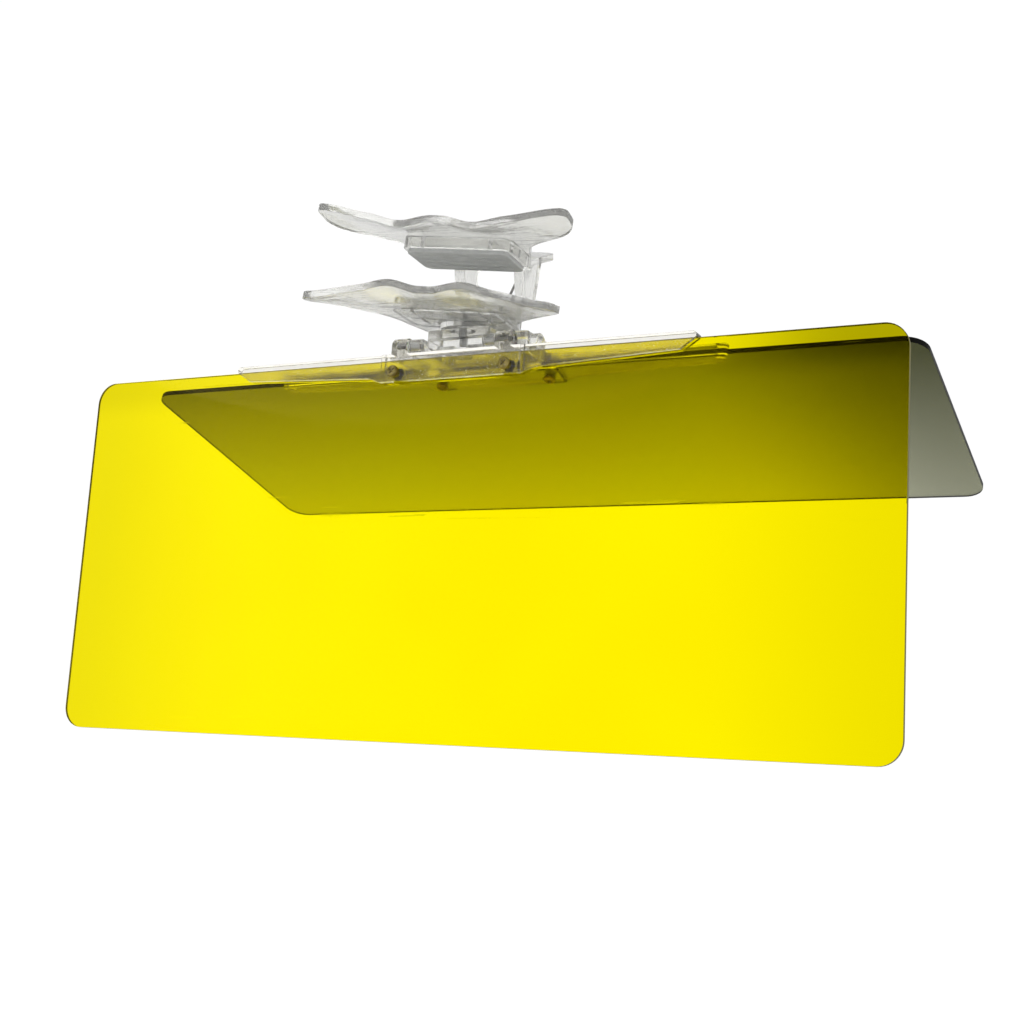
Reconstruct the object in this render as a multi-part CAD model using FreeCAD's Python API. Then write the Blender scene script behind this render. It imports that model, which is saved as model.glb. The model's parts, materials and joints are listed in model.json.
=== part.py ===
import FreeCAD, Part
import math
import os

# Clip-on day and night sun visor for a car. Millimetres, +Z up.
# The origin is the middle of the lower jaw's grip face. +X runs along the panels, -Y faces the driver and
# +Y the windscreen.
# Pieces are drawn about the swivel axis, with the lower grip face at z = 0, and moved to the origin last.
# The clip is drawn square to the axes. It is then canted by CLIP_CANT on the upright swivel, left side up,
# and turned by CLIP_YAW about it. A rail, its panel and their screws are drawn hanging from a hinge axis
# along X through the origin, then swung and moved to their hinge.

Vec = FreeCAD.Vector
ORIGIN = Vec(0, 0, 0)
ALONG_X = Vec(1, 0, 0)
ALONG_Y = Vec(0, 1, 0)
UP = Vec(0, 0, 1)

# Panels
PANEL_THICKNESS = 2.0
NIGHT_PANEL_WIDTH = 320.0
NIGHT_PANEL_HEIGHT = 135.0
DAY_PANEL_WIDTH = 316.0
DAY_PANEL_HEIGHT = 112.0
PANEL_CORNER = 8.0

# Where the parts stand
HINGE_SPACING = 25.0
HINGE_ABOVE_PANEL = 5.0
SWIVEL_BEHIND_FRONT_HINGE = 9.0
GRIP_ABOVE_HINGE = 16.0
DAY_PANEL_SWING = 74.0
CLIP_YAW = 5.5
CLIP_CANT = 5.9

# Rails
RAIL_HALF_LENGTH = 91.6
RAIL_TOP = -3.0
RAIL_HALF_THICKNESS = 2.4
RAIL_WAIST_HALF_LENGTH = 28.0
RAIL_WAIST_HALF_THICKNESS = 3.2
RAIL_WAIST_DEPTH = 8.0
RAIL_WAIST_CORNER = 1.0
RAIL_SHOULDER = (33.0, 6.2)
RAIL_FLANGE_END = (86.0, 3.8)
RAIL_END_RADIUS = 1.4
KNUCKLE_RADIUS = 3.2
KNUCKLE_INNER = 17.8
KNUCKLE_OUTER = 23.6
KNUCKLE_WEB = 1.0
END_NUB_RADIUS = 1.9
END_NUB_FROM_END = 3.0
END_NUB_BELOW_PANEL_EDGE = 1.2
END_NUB_STANDS_OUT = 0.6
SLOT_CLEARANCE = 0.05

# Hinge pins, friction washers and rail screws
PIN_RADIUS = 1.0
PIN_INNER = 12.9
PIN_OUTER = 22.4
PIN_CHAMFER = 0.2
RUNNING_CLEARANCE = 0.05
FRICTION_WASHER_RADIUS = 2.5
FRICTION_WASHER_THICKNESS = 0.4
SCREW_X = 22.3
SCREW_BELOW_PANEL_EDGE = 4.5
RAIL_SCREW_RADIUS = 1.2
RAIL_SCREW_HEAD_RADIUS = 2.2
RAIL_SCREW_HEAD_HEIGHT = 1.2
RAIL_SCREW_HEAD_ROUND = 0.7
RAIL_SCREW_TIP = 0.4
RECESS_HALF_LENGTH = 1.3
RECESS_WIDTH = 0.5
RECESS_DEPTH = 0.6
NUT_RADIUS = 2.5
NUT_HEIGHT = 1.6

# Yoke and swivel
LUG_INNER = 12.5
LUG_OUTER = 17.1
LUG_RADIUS = 2.5
TOWER_INNER = 15.0
TOWER_OUTER = 27.0
TOWER_FRONT = -5.0
TOWER_REAR = 12.0
TOWER_TOP = -11.6
TOWER_CORNER = 1.6
TOWER_TOP_CORNER = 1.0
TOWER_WALL = 2.0
TOWER_ROOF = 3.0
TOWER_BOSS = (3.6, 2.5)
TOWER_BOSS_AXIS = (1.0, -15.2)
TOWER_BOSS_ROUND = 0.6
TOWER_SLOT = 0.5
TOWER_SLOT_DEPTH = 3.4
BEAM_GAP_TO_AXIS = 3.7
BEAM_BOTTOM = -19.2
BEAM_TOP = -12.7
BEAM_CORNER = 1.5
BEAM_CORE_RADIUS = 4.0
BEAM_WALL = 2.0
BEAM_FLOOR = 2.5
BEAM_POCKET_CORNER = 2.0
POST_HALF_WIDTH = 12.5
POST_FRONT = -7.5
POST_REAR = 12.0
POST_CORNER = 2.0
POST_BOTTOM = -13.2
POST_TOP = -9.9
SPIGOT_RADIUS = 5.0
SPIGOT_TOP = -4.4
SWIVEL_SCREW_RADIUS = 1.6
SWIVEL_SCREW_BOTTOM = -15.0
SWIVEL_SCREW_HEAD_RADIUS = 3.0
SWIVEL_SCREW_HEAD_HEIGHT = 1.4
SWIVEL_SCREW_HEAD_ROUND = 0.6
SWIVEL_RECESS_HALF_LENGTH = 1.9
SWIVEL_RECESS_WIDTH = 0.7
SWIVEL_RECESS_DEPTH = 0.8
SWIVEL_WASHER_RADIUS = 7.6
SWIVEL_WASHER_THICKNESS = 0.8
SWIVEL_WASHER_CLEARANCE = 0.1
WAVE_WASHER_CLEARANCE = 0.2
WAVE_WASHER_GAPS = (0.1, 0.05)

# Jaws
JAW_GAP = 14.0
JAW_HALF_WIDTH = 47.0
JAW_FRONT = -38.0
JAW_FRONT_CORNER = 3.0
WING_SIDE_END = -30.0
WING_SWEEP_END = -3.0
WING_SWEEP_PULLS = ((3.0, 0.4), (2.0, 0.45))
JAW_WAIST_HALF_WIDTH = 22.0
JAW_REAR_HALF_WIDTH = 15.0
JAW_REAR = 15.0
JAW_PLATE_BOTTOM = -8.0
JAW_PLATE_THICKNESS = 2.5
LIP_RISE = 1.2
CREST_SPACING = 27.4
CREST_WIDTH = 24.0
CREST_HEIGHT = 2.0
CREST_END = -20.5
WING_DROOP = 3.5
DROOP_START = 20.0
HUB_RADIUS = 10.0
HUB_BOTTOM = -9.6
HUB_FLOOR = -5.0
WELL_RADIUS = 8.0
ANVIL = (42.0, 22.0)
ANVIL_WALL = 2.0
ANVIL_CORNER = 4.0
ANVIL_SINK = 0.5
ANVIL_RIB = 1.5
ANVIL_SIDE_RIB_X = 13.0
GRIP_Y = -9.0
PAD = (39.0, 19.0)
PAD_THICKNESS = 1.5
PAD_CORNER = 3.0
PAD_EDGE_RADIUS = 0.4
PAD_GROOVE_PITCH = 4.0
PAD_GROOVE_RADIUS = 0.5
PAD_GROOVE_HEIGHT = 0.2
PAD_GROOVE_MARGIN = 3.0

# Jaw hinge, levers and spring
JAW_PIN_Y = 22.0
JAW_PIN_Z = 7.0
JAW_PIN_RADIUS = 1.5
JAW_PIN_HALF_LENGTH = 16.2
JAW_PIN_CHAMFER = 0.3
EAR_INNER = 6.2
EAR_OUTER = 9.6
EAR_RADIUS = 4.5
EAR_FOOT = 0.5
ARM_INNER = 9.9
ARM_OUTER = 14.1
ARM_RADIUS = 4.2
ARM_ROOT_BELOW = 2.0
ARM_ROOT_ABOVE = 1.0
LOWER_LEVER_REAR = 28.5
UPPER_LEVER_REAR = 40.5
LEVER_THICKNESS = 2.5
LEVER_CORNER = 6.0
UPPER_LEVER_HALF_WIDTH = 14.6
UPPER_LEVER_ANGLE = 24.0
UPPER_LEVER_START = 12.0
LEVER_LIFT = 0.3
GROOVE_GAP = 0.3
GROOVE_WIDTH = 0.8
GROOVE_RADIUS = 1.15
CLIP_RADIUS = 3.0
CLIP_THICKNESS = 0.6
CLIP_MOUTH = 1.8
SPRING_RADIUS = 3.0
SPRING_WIRE_RADIUS = 0.5
SPRING_HALF_LENGTH = 4.8
SPRING_TURNS = 6.5
LOWER_SPRING_LEG = (5.0, -10.0)
UPPER_SPRING_LEG = (20.5, 60.0)
SPRING_ELBOW_RADIUS = 0.51

FRONT_HINGE = Vec(0, -SWIVEL_BEHIND_FRONT_HINGE, -GRIP_ABOVE_HINGE)
REAR_HINGE = FRONT_HINGE + Vec(0, HINGE_SPACING, 0)
PANEL_TOP = -HINGE_ABOVE_PANEL
SCREW_Z = PANEL_TOP - SCREW_BELOW_PANEL_EDGE
ANVIL_TOP = -PAD_THICKNESS
PLATE_TOP = JAW_PLATE_BOTTOM + JAW_PLATE_THICKNESS
RISER_FRONT = JAW_REAR - LEVER_THICKNESS
THROUGH = 5.0


def block(x0, x1, y0, y1, z0, z1):
    return Part.makeBox(x1 - x0, y1 - y0, z1 - z0, Vec(x0, y0, z0))


def rod_x(x0, x1, radius, y=0.0, z=0.0):
    return Part.makeCylinder(radius, x1 - x0, Vec(x0, y, z), ALONG_X)


def rod_y(y0, y1, radius, x=0.0, z=0.0):
    return Part.makeCylinder(radius, y1 - y0, Vec(x, y0, z), ALONG_Y)


def rod_z(z0, z1, radius, x=0.0, y=0.0):
    return Part.makeCylinder(radius, z1 - z0, Vec(x, y, z0), UP)


def union(first, *others):
    """One solid from overlapping ones, joined one at a time."""
    whole = first
    for other in others:
        whole = whole.fuse(other)
    return whole.removeSplitter()


def both_sides(shape):
    """The shape and its mirror image in the YZ plane."""
    return [shape, shape.mirror(ORIGIN, ALONG_X)]


def rounded_slab(x0, x1, y0, y1, z0, z1, corner):
    """A flat slab with its four upright edges rounded."""
    slab = block(x0, x1, y0, y1, z0, z1)
    upright = [e for e in slab.Edges if abs(e.tangentAt(e.FirstParameter).z) > 0.9]
    return slab.makeFillet(corner, upright)


def outline_face(points):
    return Part.Face(Part.makePolygon([*points, points[0]]))


def round_edges(shape, radius, wanted):
    edges = [e for e in shape.Edges if wanted(e)]
    return shape.makeFillet(radius, edges)


# ---- Rails and panels, hanging from a hinge axis at the origin


def screw_places():
    return [-SCREW_X, SCREW_X]


def panel(width, height):
    """A flat sheet with rounded corners, drilled for the two rail screws."""
    half = width / 2
    flat = rounded_slab(-half, half, -height, 0, 0, PANEL_THICKNESS, PANEL_CORNER)
    flat.rotate(ORIGIN, ALONG_X, 90)
    flat.translate(Vec(0, PANEL_THICKNESS / 2, PANEL_TOP))
    hole = RAIL_SCREW_RADIUS + 2 * RUNNING_CLEARANCE
    return flat.cut([rod_y(-THROUGH, THROUGH, hole, x, SCREW_Z) for x in screw_places()])


def rail_outline():
    """Half of the rail's front outline, from the middle of the top to the middle of the bottom."""
    shoulder_x, shoulder_depth = RAIL_SHOULDER
    end_x, end_depth = RAIL_FLANGE_END
    return [
        (RAIL_HALF_LENGTH, RAIL_TOP),
        (RAIL_HALF_LENGTH, PANEL_TOP),
        (end_x, PANEL_TOP - end_depth),
        (shoulder_x, PANEL_TOP - shoulder_depth),
        (RAIL_WAIST_HALF_LENGTH, PANEL_TOP - RAIL_WAIST_DEPTH),
    ]


def rail_bar():
    right = [Vec(x, -RAIL_HALF_THICKNESS, z) for x, z in rail_outline()]
    left = [Vec(-p.x, p.y, p.z) for p in reversed(right)]
    bar = outline_face(right + left).extrude(Vec(0, 2 * RAIL_HALF_THICKNESS, 0))
    bar = round_edges(
        bar,
        RAIL_END_RADIUS,
        lambda e: abs(e.tangentAt(e.FirstParameter).y) > 0.9 and e.CenterOfMass.z > RAIL_TOP - 0.1,
    )
    waist = block(
        -RAIL_WAIST_HALF_LENGTH,
        RAIL_WAIST_HALF_LENGTH,
        -RAIL_WAIST_HALF_THICKNESS,
        RAIL_WAIST_HALF_THICKNESS,
        PANEL_TOP - RAIL_WAIST_DEPTH,
        RAIL_TOP,
    )
    waist = round_edges(
        waist, RAIL_WAIST_CORNER, lambda e: abs(e.tangentAt(e.FirstParameter).z) > 0.9
    )
    return [bar, waist]


def knuckle():
    barrel = rod_x(KNUCKLE_INNER, KNUCKLE_OUTER, KNUCKLE_RADIUS)
    web_bottom = RAIL_TOP - KNUCKLE_WEB
    web = block(KNUCKLE_INNER, KNUCKLE_OUTER, -KNUCKLE_RADIUS, KNUCKLE_RADIUS, web_bottom, 0)
    return union(barrel, web)


def end_nub():
    """A small round stop at each end of the rear rail, on both of its faces."""
    reach = RAIL_HALF_THICKNESS + END_NUB_STANDS_OUT
    x = RAIL_HALF_LENGTH - END_NUB_FROM_END
    return rod_y(-reach, reach, END_NUB_RADIUS, x, PANEL_TOP - END_NUB_BELOW_PANEL_EDGE)


def rail(with_nubs):
    pieces = rail_bar() + both_sides(knuckle())
    if with_nubs:
        pieces += both_sides(end_nub())
    body = union(*pieces)
    half_slot = PANEL_THICKNESS / 2 + SLOT_CLEARANCE
    half_length = RAIL_HALF_LENGTH + THROUGH
    slot = block(-half_length, half_length, -half_slot, half_slot, 4 * PANEL_TOP, PANEL_TOP)
    pin_holes = both_sides(rod_x(KNUCKLE_INNER - 1, PIN_OUTER, PIN_RADIUS))
    screw_holes = [rod_y(-THROUGH, THROUGH, RAIL_SCREW_RADIUS, x, SCREW_Z) for x in screw_places()]
    return body.cut([slot, *pin_holes, *screw_holes])


def hinge_pin(side):
    pin = rod_x(PIN_INNER, PIN_OUTER, PIN_RADIUS)
    pin = pin.makeChamfer(PIN_CHAMFER, [e for e in pin.Edges if e.Closed])
    return pin if side > 0 else pin.mirror(ORIGIN, ALONG_X)


def friction_washers():
    """One nylon washer on each pin, between the yoke's lug and the rail's knuckle."""
    middle = (LUG_OUTER + KNUCKLE_INNER) / 2
    x0 = middle - FRICTION_WASHER_THICKNESS / 2
    x1 = middle + FRICTION_WASHER_THICKNESS / 2
    ring = rod_x(x0, x1, FRICTION_WASHER_RADIUS).cut(rod_x(x0 - 1, x1 + 1, PIN_RADIUS))
    return Part.makeCompound(both_sides(ring))


def rail_screws():
    face = -RAIL_WAIST_HALF_THICKNESS
    top = face - RAIL_SCREW_HEAD_HEIGHT
    screws = []
    for x in screw_places():
        head = rod_y(top, face, RAIL_SCREW_HEAD_RADIUS, x, SCREW_Z)
        head = round_edges(
            head, RAIL_SCREW_HEAD_ROUND, lambda e: e.Closed and abs(e.CenterOfMass.y - top) < 0.01
        )
        shank = rod_y(face, -face + NUT_HEIGHT + RAIL_SCREW_TIP, RAIL_SCREW_RADIUS, x, SCREW_Z)
        screw = union(head, shank)
        for turn in (45, 135):
            half, width = RECESS_HALF_LENGTH, RECESS_WIDTH / 2
            cut = block(-half, half, top - 1, top + RECESS_DEPTH, -width, width)
            cut.rotate(ORIGIN, ALONG_Y, turn)
            cut.translate(Vec(x, 0, SCREW_Z))
            screw = screw.cut(cut)
        screws.append(screw)
    return Part.makeCompound(screws)


def rail_nuts():
    face = RAIL_WAIST_HALF_THICKNESS
    nuts = []
    for x in screw_places():
        corners = []
        for i in range(6):
            angle = math.radians(60 * i)
            corner_x = x + NUT_RADIUS * math.cos(angle)
            corners.append(Vec(corner_x, face, SCREW_Z + NUT_RADIUS * math.sin(angle)))
        nut = outline_face(corners).extrude(Vec(0, NUT_HEIGHT, 0))
        nuts.append(nut.cut(rod_y(face - 1, face + NUT_HEIGHT + 1, RAIL_SCREW_RADIUS, x, SCREW_Z)))
    return Part.makeCompound(nuts)


# ---- Yoke and swivel


def lug():
    """One hinge cheek of the yoke, from the front hinge to the rear hinge, with a blind hole for each pin."""
    front, rear = FRONT_HINGE, REAR_HINGE
    ends = [rod_x(LUG_INNER, LUG_OUTER, LUG_RADIUS, h.y, h.z) for h in (front, rear)]
    bar = block(LUG_INNER, LUG_OUTER, front.y, rear.y, front.z - LUG_RADIUS, front.z + LUG_RADIUS)
    plate = union(bar, *ends)
    hole = PIN_RADIUS + RUNNING_CLEARANCE
    blind_end = PIN_INNER - RUNNING_CLEARANCE
    return plate.cut([rod_x(blind_end, LUG_OUTER + 1, hole, h.y, h.z) for h in (front, rear)])


def tower():
    """One cored side tower of the yoke, behind the knuckles, with a round boss on its outer face."""
    y0, y1 = TOWER_FRONT, TOWER_REAR
    body = rounded_slab(TOWER_INNER, TOWER_OUTER, y0, y1, BEAM_BOTTOM, TOWER_TOP, TOWER_CORNER)
    body = round_edges(body, TOWER_TOP_CORNER, lambda e: e.CenterOfMass.z > TOWER_TOP - 0.1)
    wall = TOWER_WALL
    pocket = rounded_slab(
        LUG_OUTER + wall / 2,
        TOWER_OUTER - wall,
        y0 + wall,
        y1 - wall,
        BEAM_BOTTOM - 1,
        TOWER_TOP - TOWER_ROOF,
        wall / 2,
    )
    radius, length = TOWER_BOSS
    y, z = TOWER_BOSS_AXIS
    boss = rod_x(TOWER_OUTER - wall, TOWER_OUTER + length, radius, y, z)
    boss = round_edges(boss, TOWER_BOSS_ROUND, lambda e: e.Closed and e.CenterOfMass.x > TOWER_OUTER)
    return union(body.cut(pocket), boss)


def hinge_yoke():
    y0 = FRONT_HINGE.y + BEAM_GAP_TO_AXIS
    y1 = REAR_HINGE.y - BEAM_GAP_TO_AXIS
    half = TOWER_INNER + TOWER_CORNER
    beam = block(-half, half, y0, y1, BEAM_BOTTOM, BEAM_TOP)
    beam = round_edges(beam, BEAM_CORNER, lambda e: abs(e.tangentAt(e.FirstParameter).z) > 0.9)
    pocket_half = LUG_INNER - BEAM_WALL
    wall0, wall1 = y0 + BEAM_WALL, y1 - BEAM_WALL
    pocket = rounded_slab(
        -pocket_half,
        pocket_half,
        wall0,
        wall1,
        BEAM_BOTTOM - 1,
        BEAM_TOP - BEAM_FLOOR,
        BEAM_POCKET_CORNER,
    )
    core = rod_z(BEAM_BOTTOM, BEAM_TOP, BEAM_CORE_RADIUS)
    beam = union(beam.cut(pocket), core)
    post = rounded_slab(
        -POST_HALF_WIDTH, POST_HALF_WIDTH, POST_FRONT, POST_REAR, POST_BOTTOM, POST_TOP, POST_CORNER
    )
    spigot = rod_z(POST_TOP, SPIGOT_TOP, SPIGOT_RADIUS)
    body = union(beam, post, spigot, *both_sides(lug()), *both_sides(tower()))
    slot_inner = POST_HALF_WIDTH + TOWER_SLOT
    slot_outer = TOWER_INNER - TOWER_SLOT
    slot = block(slot_inner, slot_outer, y0 - 1, y1 + 1, TOWER_TOP - TOWER_SLOT_DEPTH, 0)
    screw_hole = rod_z(SWIVEL_SCREW_BOTTOM, SPIGOT_TOP + 1, SWIVEL_SCREW_RADIUS)
    return body.cut([screw_hole, *both_sides(slot)])


def ring_z(z0, z1, inner, outer):
    return rod_z(z0, z1, outer).cut(rod_z(z0 - 1, z1 + 1, inner))


def swivel_wave_washer():
    below, above = WAVE_WASHER_GAPS
    inner = SPIGOT_RADIUS + WAVE_WASHER_CLEARANCE
    return ring_z(HUB_FLOOR + below, SPIGOT_TOP - above, inner, SWIVEL_WASHER_RADIUS)


def swivel_washer():
    top = SPIGOT_TOP + SWIVEL_WASHER_THICKNESS
    inner = SWIVEL_SCREW_RADIUS + SWIVEL_WASHER_CLEARANCE
    return ring_z(SPIGOT_TOP, top, inner, SWIVEL_WASHER_RADIUS)


def swivel_screw():
    under_head = SPIGOT_TOP + SWIVEL_WASHER_THICKNESS
    top = under_head + SWIVEL_SCREW_HEAD_HEIGHT
    head = rod_z(under_head, top, SWIVEL_SCREW_HEAD_RADIUS)
    head = round_edges(
        head, SWIVEL_SCREW_HEAD_ROUND, lambda e: e.Closed and abs(e.CenterOfMass.z - top) < 0.01
    )
    screw = union(head, rod_z(SWIVEL_SCREW_BOTTOM, under_head, SWIVEL_SCREW_RADIUS))
    half, width = SWIVEL_RECESS_HALF_LENGTH, SWIVEL_RECESS_WIDTH / 2
    for turn in (0, 90):
        cut = block(-half, half, -width, width, top - SWIVEL_RECESS_DEPTH, top + 1)
        cut.rotate(ORIGIN, UP, turn)
        screw = screw.cut(cut)
    return screw


# ---- Clip, square to the axes


def ease(t):
    """0 up to t = 0, 1 from t = 1, and a smooth half wave between."""
    t = min(1.0, max(0.0, t))
    return 0.5 - 0.5 * math.cos(math.pi * t)


def jaw_height(x, y):
    """Height of the jaw plate above its flat level: a raised lip with two crests and drooping wing tips."""
    off_crest = abs(abs(x) - CREST_SPACING / 2) / (CREST_WIDTH / 2)
    front = ease((CREST_END - y) / (CREST_END - JAW_FRONT))
    crest = CREST_HEIGHT * (1 - ease(off_crest))
    droop = WING_DROOP * ease((abs(x) - DROOP_START) / (JAW_HALF_WIDTH - DROOP_START))
    return front * (LIP_RISE + crest - droop)


def wavy_sheet():
    """The front of the jaw's plate before its outline is cut: one thickness of a smooth wavy surface."""
    margin = 2.0
    columns = 45
    rows = 13
    span_x = 2 * (JAW_HALF_WIDTH + margin)
    y0 = JAW_FRONT - margin
    span_y = CREST_END - y0
    grid = []
    for i in range(columns):
        x = -span_x / 2 + span_x * i / (columns - 1)
        ys = [y0 + span_y * j / (rows - 1) for j in range(rows)]
        grid.append([Vec(x, y, JAW_PLATE_BOTTOM + jaw_height(x, y)) for y in ys])
    surface = Part.BSplineSurface()
    surface.interpolate(grid)
    return surface.toShape().extrude(Vec(0, 0, JAW_PLATE_THICKNESS))


def line(x0, y0, x1, y1):
    return Part.LineSegment(Vec(x0, y0, 0), Vec(x1, y1, 0)).toShape()


def jaw_outline():
    """The jaw seen from above: a wide front edge, wings that sweep in to the waist, and tapering sides."""
    half, waist, corner = JAW_HALF_WIDTH, JAW_WAIST_HALF_WIDTH, JAW_FRONT_CORNER
    inset = corner * (1 - math.sqrt(0.5))
    front_corner = Part.Arc(
        Vec(half - corner, JAW_FRONT, 0),
        Vec(half - inset, JAW_FRONT + inset, 0),
        Vec(half, JAW_FRONT + corner, 0),
    )
    sweep = Part.BezierCurve()
    sweep_length = WING_SWEEP_END - WING_SIDE_END
    (pull_in, first), (pull_out, second) = WING_SWEEP_PULLS
    sweep.setPoles(
        [
            Vec(half, WING_SIDE_END, 0),
            Vec(half - pull_in, WING_SIDE_END + sweep_length * first, 0),
            Vec(waist + pull_out, WING_SIDE_END + sweep_length * second, 0),
            Vec(waist, WING_SWEEP_END, 0),
        ]
    )
    right = [
        front_corner.toShape(),
        line(half, JAW_FRONT + corner, half, WING_SIDE_END),
        sweep.toShape(),
        line(waist, WING_SWEEP_END, JAW_REAR_HALF_WIDTH, JAW_REAR),
    ]
    left = [e.mirror(ORIGIN, ALONG_X) for e in right]
    front = line(corner - half, JAW_FRONT, half - corner, JAW_FRONT)
    back = line(-JAW_REAR_HALF_WIDTH, JAW_REAR, JAW_REAR_HALF_WIDTH, JAW_REAR)
    return Part.Face(Part.Wire(Part.__sortEdges__([front, back, *right, *left])))


def jaw_plate():
    """The flat rear of the plate and its wavy front, as two solids that meet where the waves die out."""
    outline = jaw_outline()
    reach = 2 * JAW_HALF_WIDTH
    wave_room = 4 * WING_DROOP
    rear = outline.extrude(Vec(0, 0, JAW_PLATE_THICKNESS))
    rear.translate(Vec(0, 0, JAW_PLATE_BOTTOM))
    rear = rear.common(block(-reach, reach, CREST_END, reach, JAW_PLATE_BOTTOM - 1, PLATE_TOP + 1))
    tall = outline.extrude(Vec(0, 0, 2 * wave_room))
    tall.translate(Vec(0, 0, JAW_PLATE_BOTTOM - wave_room))
    return rear, wavy_sheet().common(tall)


def anvil():
    """The raised, cored block behind the crests that carries the grip pad."""
    half_x, half_y = ANVIL[0] / 2, ANVIL[1] / 2
    y0, y1 = GRIP_Y - half_y, GRIP_Y + half_y
    solid = rounded_slab(-half_x, half_x, y0, y1, PLATE_TOP - ANVIL_SINK, ANVIL_TOP, ANVIL_CORNER)
    pocket = rounded_slab(
        -half_x + ANVIL_WALL,
        half_x - ANVIL_WALL,
        y0 + ANVIL_WALL,
        y1 - ANVIL_WALL,
        PLATE_TOP,
        ANVIL_TOP + 1,
        ANVIL_CORNER - ANVIL_WALL,
    )
    rib = ANVIL_RIB / 2
    side = ANVIL_SIDE_RIB_X
    ribs = [block(-half_x, half_x, GRIP_Y - rib, GRIP_Y + rib, PLATE_TOP, ANVIL_TOP + 1)]
    ribs += both_sides(block(side - rib, side + rib, y0, y1, PLATE_TOP, ANVIL_TOP + 1))
    well_wall = rod_z(PLATE_TOP - 1, ANVIL_TOP + 2, WELL_RADIUS + ANVIL_WALL)
    return solid.cut(pocket.cut([well_wall, *ribs]))


def grip_pad():
    """A soft pad with fine grooves across the way a visor slides in."""
    half_x, half_y = PAD[0] / 2, PAD[1] / 2
    pad = rounded_slab(-half_x, half_x, GRIP_Y - half_y, GRIP_Y + half_y, ANVIL_TOP, 0, PAD_CORNER)
    pad = round_edges(pad, PAD_EDGE_RADIUS, lambda e: e.CenterOfMass.z > -0.01)
    count = int(half_y / PAD_GROOVE_PITCH)
    groove_end = half_x - PAD_GROOVE_MARGIN
    grooves = []
    for i in range(count):
        for sign in (-1, 1):
            y = GRIP_Y + sign * (i + 0.5) * PAD_GROOVE_PITCH
            grooves.append(rod_x(-groove_end, groove_end, PAD_GROOVE_RADIUS, y, PAD_GROOVE_HEIGHT))
    return pad.cut(grooves)


def ear():
    """One upright side plate of the lower jaw that holds the jaw pin."""
    barrel = rod_x(EAR_INNER, EAR_OUTER, EAR_RADIUS, JAW_PIN_Y, JAW_PIN_Z)
    front, rear = JAW_PIN_Y - EAR_RADIUS, JAW_PIN_Y + EAR_RADIUS
    foot = block(EAR_INNER, EAR_OUTER, front, rear, EAR_FOOT, JAW_PIN_Z)
    return union(barrel, foot)


def on_swivel(shape):
    """A shape that is square to the upright swivel axis, tilted so that the clip's cant brings it upright."""
    tilted = shape.copy()
    tilted.rotate(ORIGIN, ALONG_Y, -CLIP_CANT)
    return tilted


def lower_jaw():
    half = JAW_REAR_HALF_WIDTH
    riser = block(-half, half, RISER_FRONT, JAW_REAR, JAW_PLATE_BOTTOM, LEVER_THICKNESS)
    lever = rounded_slab(
        -EAR_OUTER, EAR_OUTER, RISER_FRONT, LOWER_LEVER_REAR, 0, LEVER_THICKNESS, LEVER_CORNER
    )
    lever_root = block(-EAR_OUTER, EAR_OUTER, RISER_FRONT, JAW_PIN_Y, 0, LEVER_THICKNESS)
    hub = on_swivel(rod_z(HUB_BOTTOM, HUB_FLOOR, HUB_RADIUS))
    plate_rear, plate_front = jaw_plate()
    body = union(plate_rear, anvil(), hub, riser, lever, lever_root, *both_sides(ear()), plate_front)
    well = on_swivel(rod_z(HUB_FLOOR, THROUGH, WELL_RADIUS))
    bore = on_swivel(rod_z(HUB_BOTTOM - 1, HUB_FLOOR + 1, SPIGOT_RADIUS + RUNNING_CLEARANCE))
    pin_hole = rod_x(-EAR_OUTER - 1, EAR_OUTER + 1, JAW_PIN_RADIUS, JAW_PIN_Y, JAW_PIN_Z)
    return body.cut([well, bore, pin_hole])


def mirrored_up(shape):
    """A lower-jaw shape turned over to face it across the jaw gap."""
    return shape.mirror(Vec(0, 0, JAW_GAP / 2), UP)


def upper_lever():
    """The thumb lever: it leaves the rear of the upper plate and rises away from the lower lever."""
    plate_bottom = JAW_GAP - PLATE_TOP
    angle = math.radians(UPPER_LEVER_ANGLE)
    length = (UPPER_LEVER_REAR - UPPER_LEVER_START) / math.cos(angle)
    half = UPPER_LEVER_HALF_WIDTH
    lever = rounded_slab(-half, half, 0, length, 0, LEVER_THICKNESS, LEVER_CORNER)
    square_front = block(-half, half, 0, length / 2, 0, LEVER_THICKNESS)
    lever = union(lever, square_front)
    lever.rotate(ORIGIN, ALONG_X, UPPER_LEVER_ANGLE)
    lever.translate(Vec(0, UPPER_LEVER_START, plate_bottom + LEVER_LIFT))
    return lever


def arm():
    """One side arm of the upper jaw, reaching down to the jaw pin outside the lower jaw's ear."""
    barrel = rod_x(ARM_INNER, ARM_OUTER, ARM_RADIUS, JAW_PIN_Y, JAW_PIN_Z)
    plate_bottom = JAW_GAP - PLATE_TOP
    slope = math.tan(math.radians(UPPER_LEVER_ANGLE))
    front, rear = JAW_PIN_Y - ARM_RADIUS, JAW_PIN_Y + ARM_RADIUS
    start = UPPER_LEVER_START
    profile = [
        Vec(ARM_INNER, front, JAW_PIN_Z),
        Vec(ARM_INNER, rear, JAW_PIN_Z),
        Vec(ARM_INNER, rear, plate_bottom + slope * (rear - start) + ARM_ROOT_ABOVE),
        Vec(ARM_INNER, start, plate_bottom + ARM_ROOT_ABOVE),
        Vec(ARM_INNER, start, plate_bottom - ARM_ROOT_BELOW),
    ]
    web = outline_face(profile).extrude(Vec(ARM_OUTER - ARM_INNER, 0, 0))
    return union(barrel, web)


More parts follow.
